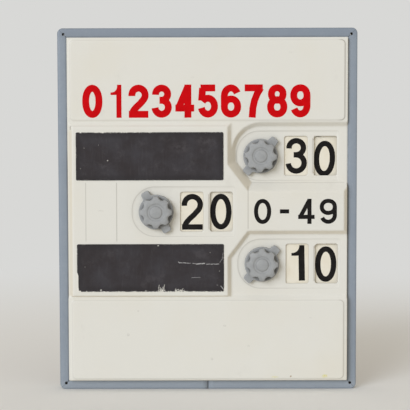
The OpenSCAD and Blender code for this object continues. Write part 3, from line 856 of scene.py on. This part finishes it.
def prism(name, x, z, d0, d1):
    """A solid between depths d0 and d1 with the outline x, z."""
    count = len(x)
    points = np.concatenate([stand(x, z, d0), stand(x, z, d1)])
    ring = np.arange(count)
    after = (ring + 1) % count
    sides = np.stack([ring, after, after + count, ring + count], axis=1).tolist()
    mesh = bpy.data.meshes.new(name)
    mesh.from_pydata(points.tolist(), [], [*sides, ring[::-1].tolist(), (ring + count).tolist()])
    finished(mesh, smooth=False)
    cutter = bpy.data.objects.new(name, mesh)
    bpy.context.scene.collection.objects.link(cutter)
    return cutter


def cut(piece, cutters):
    """Takes solids out of a piece and removes them."""
    for cutter in cutters:
        modifier = piece.modifiers.new(cutter.name, "BOOLEAN")
        modifier.operation = "DIFFERENCE"
        modifier.solver = "EXACT"
        modifier.object = cutter
    apply_modifiers(piece)
    for cutter in cutters:
        bpy.data.objects.remove(cutter)


def folded_trim():
    """The channel's section carried round the board, with holes, mitre slits and a butt joint."""
    inset, depth = trim_section()
    loop_x, loop_z = round_path(inset[:, None])
    points = stand(loop_x, loop_z, depth[:, None])
    piece = skin("folded_trim", points, wrap_rows=True)
    below, above = -1, TRIM_D + 1
    half_slit = SLIT_W / 2
    joint = box_points(-half_slit, half_slit, -1, TRIM_W + 1)
    cutters = [prism("butt_joint", *joint, below, above)]
    theta = np.radians(np.arange(0, 360, 15))
    for sx in (-1, 1):
        for sz in (-1, 1):
            x = sx * (BOARD_W / 2 - HOLE_INSET)
            z = BOARD_H / 2 + sz * (BOARD_H / 2 - HOLE_INSET)
            hole = (x + HOLE_R * np.cos(theta), z + HOLE_R * np.sin(theta))
            cutters.append(prism("corner_hole", *hole, below, above))
            inward = math.atan2(-sz, -sx)
            length = 2 * TRIM_W - HOLE_INSET
            slit = box_points(0, length, -half_slit, half_slit, inward, (x, z))
            cutters.append(prism("mitre_slit", *slit, TRIM_D - SLIT_DEPTH, above))
    cut(piece, cutters)
    fit(piece, "board", ["edge_trim"])


# Knobs

# Heights are above the sheet that the knob turns on.
LUGGED_H = 10.0
FLUTED_H = 26.0
KNOB_LIFT = 1.2
KNOB_SPLIT = 0.3  # gap between the two knobs
SPINDLE_R = 4.0
SLEEVE_R = 7.0
RUNNING = 0.05  # room round the spindle
TENS_FRONT, TENS_BACK = -3.8, -5.3  # faces of the discs that sleeve and spindle reach
UNITS_FRONT, UNITS_BACK = -7.3, -8.8
FLUTES = 8
FLUTE_AT = 36.0
FLUTE_R = 9.4
FLUTE_BLEND = 1.6
LOBE_R = 32.6
LOBE_FALL = 5.0
LOBE_STEPS = (0.15, 0.35, 0.6, 0.85)
FACE_R = 25.4
CAP_EDGE_R = 1.3
LUG_END = 47.0
LUG_HALF = 9.0
LUG_CORNER = 4.5
LUG_BLEND = 3.0
LUG_EDGE_R = 1.8
LUG_WALL_MID = 5
LUG_RINGS = (20, 25, 26.5, 28, 29.5, 31, 32.5)  # radii on the lugged knob's top face
PLATE_R = 35.2
CAP_COLUMNS = 256
LUG_COLUMNS = 192
EDGE_STEPS = 6
FLUTE_SHADE_FADE = (28.5, 31.5)  # radii between which the painted shade in the flutes fades out
UNDER_CAP = (27.0, 31.0)  # radii between which the painted shade under the fluted knob fades out
LUG_SHADE_FADE = (35.4, 37.5)  # radii between which the plate's painted shade fades out on the lugs
FLUTE_TURNS = {"upper": 18.5, "middle": 22.5, "lower": 22.5}
LUG_TURNS = {"upper": 49.0, "middle": 121.0, "lower": 47.0}
LEE = math.radians(-40)  # the knobs' side away from the light, where their painted shade is darkest


def turned(name, hub, radius, height, painted_shade, turn, closed):
    """A piece with a radius and a height above the sheet for each row and direction.

    Each point lies at its radius from the hub's axis, along its direction, and at its height
    in front of the hub.
    """
    columns = radius.shape[1]
    theta = np.arange(columns) * math.tau / columns + math.radians(turn)
    x, y, z = hub
    points = np.stack(
        [
            x + radius * np.cos(theta) * MM,
            y - height * MM,
            z + radius * np.sin(theta) * MM,
        ],
        axis=-1,
    )
    return skin(name, points, wrap_rows=closed, painted_shade=painted_shade)


def rows_of(*rows):
    """Stacks rows, each a number or an array with a value for each direction."""
    columns = max(np.size(row) for row in rows)
    return np.stack([np.broadcast_to(row, columns).astype(float) for row in rows])


def edge_round(radius):
    """Inset and drop along a quarter round from the top face to the wall."""
    angle = np.linspace(0, np.pi / 2, EDGE_STEPS)
    return radius * (1 - np.sin(angle)), radius * (1 - np.cos(angle))


# Rings of the fluted knob: radius and height from its face on top, and then, down its
# flutes, height above the sheet and how much narrower than FLUTE_R the flutes are.
CAP_FACE = (
    (0, 0),
    (3, -0.06),
    (6, -0.24),
    (9, -0.54),
    (11, -0.85),
    (11.7, -1.2),
    (12.2, -1.9),
    (12.8, -2.3),
    (13.6, -2.35),
    (16.8, -2.3),
    (17.4, -2.1),
    (17.8, -1.6),
    (18.4, -1.4),
    (20, -1.4),
    (22.5, -1.4),
    (FACE_R, -1.5),
)
FLUTE_FOOT = ((18, 0.3), (15, 0.8), (12, 1.2), (LUGGED_H + KNOB_SPLIT + 0.5, 1.5))


def fluted_cap(counter):
    """Upper knob: a dome in a ring-shaped dish on its face, eight round flutes and a spindle.

    Its outline is where a circle and the circles of the flutes, blended, meet; each ring of
    the rounded rim is that outline at a smaller distance from the edge, and the flutes narrow
    towards the foot. The face falls away from FACE_R out to the tips of the lobes.
    """
    theta = np.arange(CAP_COLUMNS) * math.tau / CAP_COLUMNS
    pitch = math.tau / FLUTES
    phi = (theta + pitch / 2) % pitch - pitch / 2

    def outline(inset, flute_r):
        def inside(radius, angle):
            away = radius**2 + FLUTE_AT**2 - 2 * radius * FLUTE_AT * np.cos(angle)
            return soft_least(LOBE_R - radius, np.sqrt(away) - flute_r, FLUTE_BLEND)

        return level_radius(inside, phi, inset, 10.0, 40.0)

    inset, drop = edge_round(CAP_EDGE_R)
    rim = [outline(step, FLUTE_R) for step in inset]
    slope = [FACE_R + (rim[0] - FACE_R) * part for part in LOBE_STEPS] + rim
    down = [LOBE_FALL * ramp(FACE_R - 1, 2 * LOBE_R - FACE_R, row) for row in slope]
    down = [a + b for a, b in zip(down, [0] * len(LOBE_STEPS) + drop.tolist())]
    top = FLUTED_H + CAP_FACE[-1][1]
    low = LUGGED_H + KNOB_SPLIT
    foot = [outline(0, FLUTE_R - narrow) for _, narrow in FLUTE_FOOT]
    # Painted shade in the flutes, darker on the side away from the light.
    lee = 0.82 + 0.18 * np.cos(theta + math.radians(FLUTE_TURNS[counter]) - LEE)
    in_flute = (1 - ramp(*FLUTE_SHADE_FADE, foot[-1])) * lee
    radius = rows_of(
        *[r for r, _ in CAP_FACE],
        *slope,
        *foot,
        foot[-1] - 0.5,
        SPINDLE_R,
        SPINDLE_R,
        SPINDLE_R - 1,
        SPINDLE_R - 1,
        0,
    )
    height = rows_of(
        *[FLUTED_H + h for _, h in CAP_FACE],
        *[top - row for row in down],
        *[h for h, _ in FLUTE_FOOT],
        low,
        low,
        UNITS_FRONT,
        UNITS_FRONT,
        UNITS_BACK,
        UNITS_BACK,
    )
    # Painted shade in the two creases of the face.
    crease = [max(0.0, 0.5 - abs(r - 12.6) * 0.7, 0.3 - abs(r - 17.3) * 0.5) for r, _ in CAP_FACE]
    painted_shade = rows_of(
        *crease,
        *[0 for _ in slope],
        *[in_flute * part for part in (0.4, 0.7, 0.9, 1)],
        *[1] * 6,
    )
    hub = HUBS[f"units_dial_{counter}"]
    turn = FLUTE_TURNS[counter]
    piece = turned(f"fluted_knob_{counter}", hub, radius, height, painted_shade, turn, False)
    fit(piece, f"units_dial_{counter}", [f"units_knob_{counter}"])


def lugged_base(counter):
    """Lower knob: a round plate blended into two square lugs, on a sleeve with a bore.

    Its outline is where the lesser of the distances from a circle and from a rectangle with
    round corners, blended, is 0, and each ring of the rounded rim is that outline further in.
    """
    theta = np.arange(LUG_COLUMNS) * math.tau / LUG_COLUMNS

    def inside(radius, angle):
        x, y = radius * np.cos(angle), radius * np.sin(angle)
        out_x = np.abs(x) - (LUG_END - LUG_CORNER)
        out_y = np.abs(y) - (LUG_HALF - LUG_CORNER)
        corner = np.hypot(np.maximum(out_x, 0), np.maximum(out_y, 0))
        to_lug = corner + np.minimum(np.maximum(out_x, out_y), 0) - LUG_CORNER
        return -soft_least(radius - PLATE_R, to_lug, LUG_BLEND)

    inset, drop = edge_round(LUG_EDGE_R)
    rim = [level_radius(inside, theta, step, 10.0, 60.0) for step in inset]
    foot = level_radius(inside, theta, 0.0, 10.0, 60.0)
    bore = SPINDLE_R + RUNNING
    top = (bore, *LUG_RINGS)
    radius = rows_of(
        *top, *rim, foot, foot, SLEEVE_R, SLEEVE_R, SLEEVE_R - 1, SLEEVE_R - 1, bore
    )
    height = rows_of(
        *[LUGGED_H for _ in top],
        *(LUGGED_H - drop),
        LUG_WALL_MID,
        KNOB_LIFT,
        KNOB_LIFT,
        TENS_FRONT,
        TENS_FRONT,
        TENS_BACK,
        TENS_BACK,
    )
    # Painted shade under the fluted knob, on the plate's rim and down its wall, darkest on the side away from the
    # light.
    lee = np.maximum(np.cos(theta + math.radians(LUG_TURNS[counter]) - LEE), 0)
    lee = lee * (1 - ramp(*LUG_SHADE_FADE, foot))
    ring = 0.15 + 0.65 * lee
    shade = [1 - ramp(*UNDER_CAP, r) for r in top]
    under = [np.maximum(a, ring * (r > FLUTE_SHADE_FADE[0])) for a, r in zip(shade, top)]
    wall = [0.1 + 0.5 * lee, 0.4 + 0.4 * lee]
    painted_shade = rows_of(*under, *[0.45 * lee] * len(rim), *wall, *[1] * 5)
    hub = HUBS[f"tens_dial_{counter}"]
    turn = LUG_TURNS[counter]
    height, painted_shade = (np.broadcast_to(rows, radius.shape) for rows in (height, painted_shade))
    piece = turned(f"lugged_knob_{counter}", hub, radius, height, painted_shade, turn, True)
    fit(piece, f"tens_dial_{counter}", [f"tens_knob_{counter}"])


# Stage, light and camera

# In metres, as the frame is
STAGE_R = 3.2
SWEEP_R = 1.6
STAGE_H = 4.5
PAPER = srgb(238, 237, 234)
PAPER_EVEN = srgb(216, 216, 214)
AMBIENT = 0.61
AMBIENT_COLOUR = (1.0, 0.95, 0.86, 1.0)
KEY = 1.75
KEY_COLOUR = (0.81, 0.88, 1.0)
KEY_WIDTH = math.radians(32)
TOWARD_KEY = (-0.52, -0.8, 0.3)
LENS = 103.15
EYE = (0.0014, -2.393, 0.5155)
EYE_TURN = (86.77, 0.133, 0.154)


def stage_paper():
    """Pale paper that keeps the object's shadow near it and is even further off."""
    f = Finish("stage_paper")
    lit = f.node("ShaderNodeBsdfDiffuse", inputs={"Color": PAPER})
    even = f.node("ShaderNodeEmission", inputs={"Color": PAPER_EVEN, "Strength": 1.0})
    seen = f.node("ShaderNodeLightPath", output="Is Camera Ray")
    mirrored = f.node("ShaderNodeLightPath", output="Is Glossy Ray")
    away = f.node("ShaderNodeVectorMath", {"operation": "LENGTH"}, {0: f.place}, output="Value")
    shown = seen.most(mirrored) * away.rise(0.5, 2.4)
    surface = f.node("ShaderNodeMixShader", inputs={0: shown, 1: lit, 2: even})
    f.node("ShaderNodeOutputMaterial", inputs={0: surface})
    return f.material


def stage_sheet(name, out, up, paper):
    """A sheet turned round the upright axis: its rings lie `out` from it and `up` high."""
    theta = np.linspace(0, math.tau, 97)[:-1]
    out, up = out[:, None], up[:, None] + 0 * theta
    points = np.stack([out * np.cos(theta), out * np.sin(theta), up], axis=-1)
    piece = skin(name, points)
    piece.data.materials.append(paper)
    return piece


def make_stage():
    """A round floor, and a sweep that rises from its edge all round and only the eye sees."""
    paper = stage_paper()
    rings = np.array([0, 0.5, 1, 2, STAGE_R])
    stage_sheet("stage_floor", rings, 0 * rings, paper)
    bend = np.linspace(0, np.pi / 2, 24)
    out = np.append(STAGE_R + SWEEP_R * np.sin(bend), STAGE_R + SWEEP_R)
    up = np.append(SWEEP_R * (1 - np.cos(bend)), STAGE_H)
    sweep = stage_sheet("stage_sweep", out, up, paper)
    sweep.visible_diffuse = False
    sweep.visible_shadow = False


def make_light():
    """A broad soft light from the left and a little above, over an even light from all round."""
    world = bpy.data.worlds.new("studio")
    world.use_nodes = True
    bpy.context.scene.world = world
    ambient = world.node_tree.nodes["Background"]
    ambient.inputs["Color"].default_value = AMBIENT_COLOUR
    ambient.inputs["Strength"].default_value = AMBIENT
    lamp = bpy.data.lights.new("softbox", "SUN")
    lamp.energy = KEY
    lamp.angle = KEY_WIDTH
    lamp.color = KEY_COLOUR
    softbox = bpy.data.objects.new("softbox", lamp)
    softbox.rotation_mode = "QUATERNION"
    softbox.rotation_quaternion = mathutils.Vector(TOWARD_KEY).to_track_quat("Z", "Y")
    bpy.context.scene.collection.objects.link(softbox)


def make_camera():
    """The photograph's view: a long lens in front of the board, a little above its middle."""
    camera = bpy.data.cameras.new("camera")
    camera.sensor_width = 36.0
    camera.lens = LENS
    eye = bpy.data.objects.new("camera", camera)
    eye.location = EYE
    eye.rotation_euler = [math.radians(angle) for angle in EYE_TURN]
    bpy.context.scene.collection.objects.link(eye)
    bpy.context.scene.camera = eye


for name, node in frame["nodes"].items():
    dress(node, SLOTS[name])
moulded_panel()
folded_trim()
for counter in COUNTERS:
    fluted_cap(counter)
    lugged_base(counter)
make_stage()
make_light()
make_camera()
bpy.context.scene.view_settings.view_transform = "Standard"
